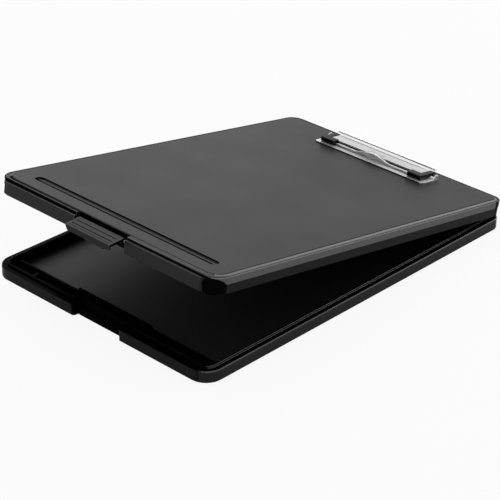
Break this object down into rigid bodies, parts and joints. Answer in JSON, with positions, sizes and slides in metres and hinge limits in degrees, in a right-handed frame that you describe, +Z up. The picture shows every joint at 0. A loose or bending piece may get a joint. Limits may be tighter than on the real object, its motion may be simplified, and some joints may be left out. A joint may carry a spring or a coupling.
{
  "type": "storage clipboard",
  "caption": "Slim storage clipboard: a hinged writing-board lid with a sprung steel paper clip and a front latch over a shallow tray for papers and a pen.",
  "frame": {"origin": "centre of the tray's flat bottom face", "axes": "+X across the board, +Y from the latch to the hinge, +Z up out of the tray"},
  "size_m": [0.241, 0.3641, 0.0862],
  "materials": {
    "case_plastic": "semi-gloss black, fine grain",
    "lid_plastic": "satin black top, glossier rolled edges",
    "latch_plastic": "satin black",
    "grip_plastic": "gloss black",
    "clip_steel": "bright nickel plate",
    "rivet_steel": "zinc plate",
    "pin_steel": "drawn wire",
    "spring_steel": "oiled spring wire"
  },
  "bodies": {
    "tray_body": {"tray": "case_plastic", "hinge_pin_left": "pin_steel", "hinge_pin_right": "pin_steel"},
    "lid_body": {"lid": "lid_plastic", "latch_pin": "pin_steel", "clip_base_plate": "clip_steel", "clip_pivot_rod": "pin_steel", "clip_spring_left": "spring_steel", "clip_spring_right": "spring_steel", "clip_rivet_left": "rivet_steel", "clip_rivet_middle": "rivet_steel", "clip_rivet_right": "rivet_steel", "rivet_washer_left": "rivet_steel", "rivet_washer_middle": "rivet_steel", "rivet_washer_right": "rivet_steel"},
    "latch_body": {"latch_lever": "latch_plastic"},
    "jaw_body": {"clip_jaw": "clip_steel", "corner_grip_left": "grip_plastic", "corner_grip_right": "grip_plastic"}
  },
  "joints": [
    {"name": "lid_hinge", "type": "hinge", "parent": "tray_body", "child": "lid_body", "pos_m": [0, 0.1784, 0.0102], "axis": [-1, 0, 0], "range_deg": [-10.05, 119.95]},
    {"name": "latch_pivot", "type": "hinge", "parent": "lid_body", "child": "latch_body", "pos_m": [0, -0.16846, 0.08163], "axis": [1, 0, 0], "range_deg": [-15, 60]},
    {"name": "clip_pivot", "type": "hinge", "parent": "lid_body", "child": "jaw_body", "pos_m": [0, 0.16237, 0.03092], "axis": [-1, 0, 0], "range_deg": [0, 25], "stiffness_Nm_per_rad": 0.2, "springref_deg": -57.3, "deforming": ["clip_spring_left", "clip_spring_right"]}
  ]
}
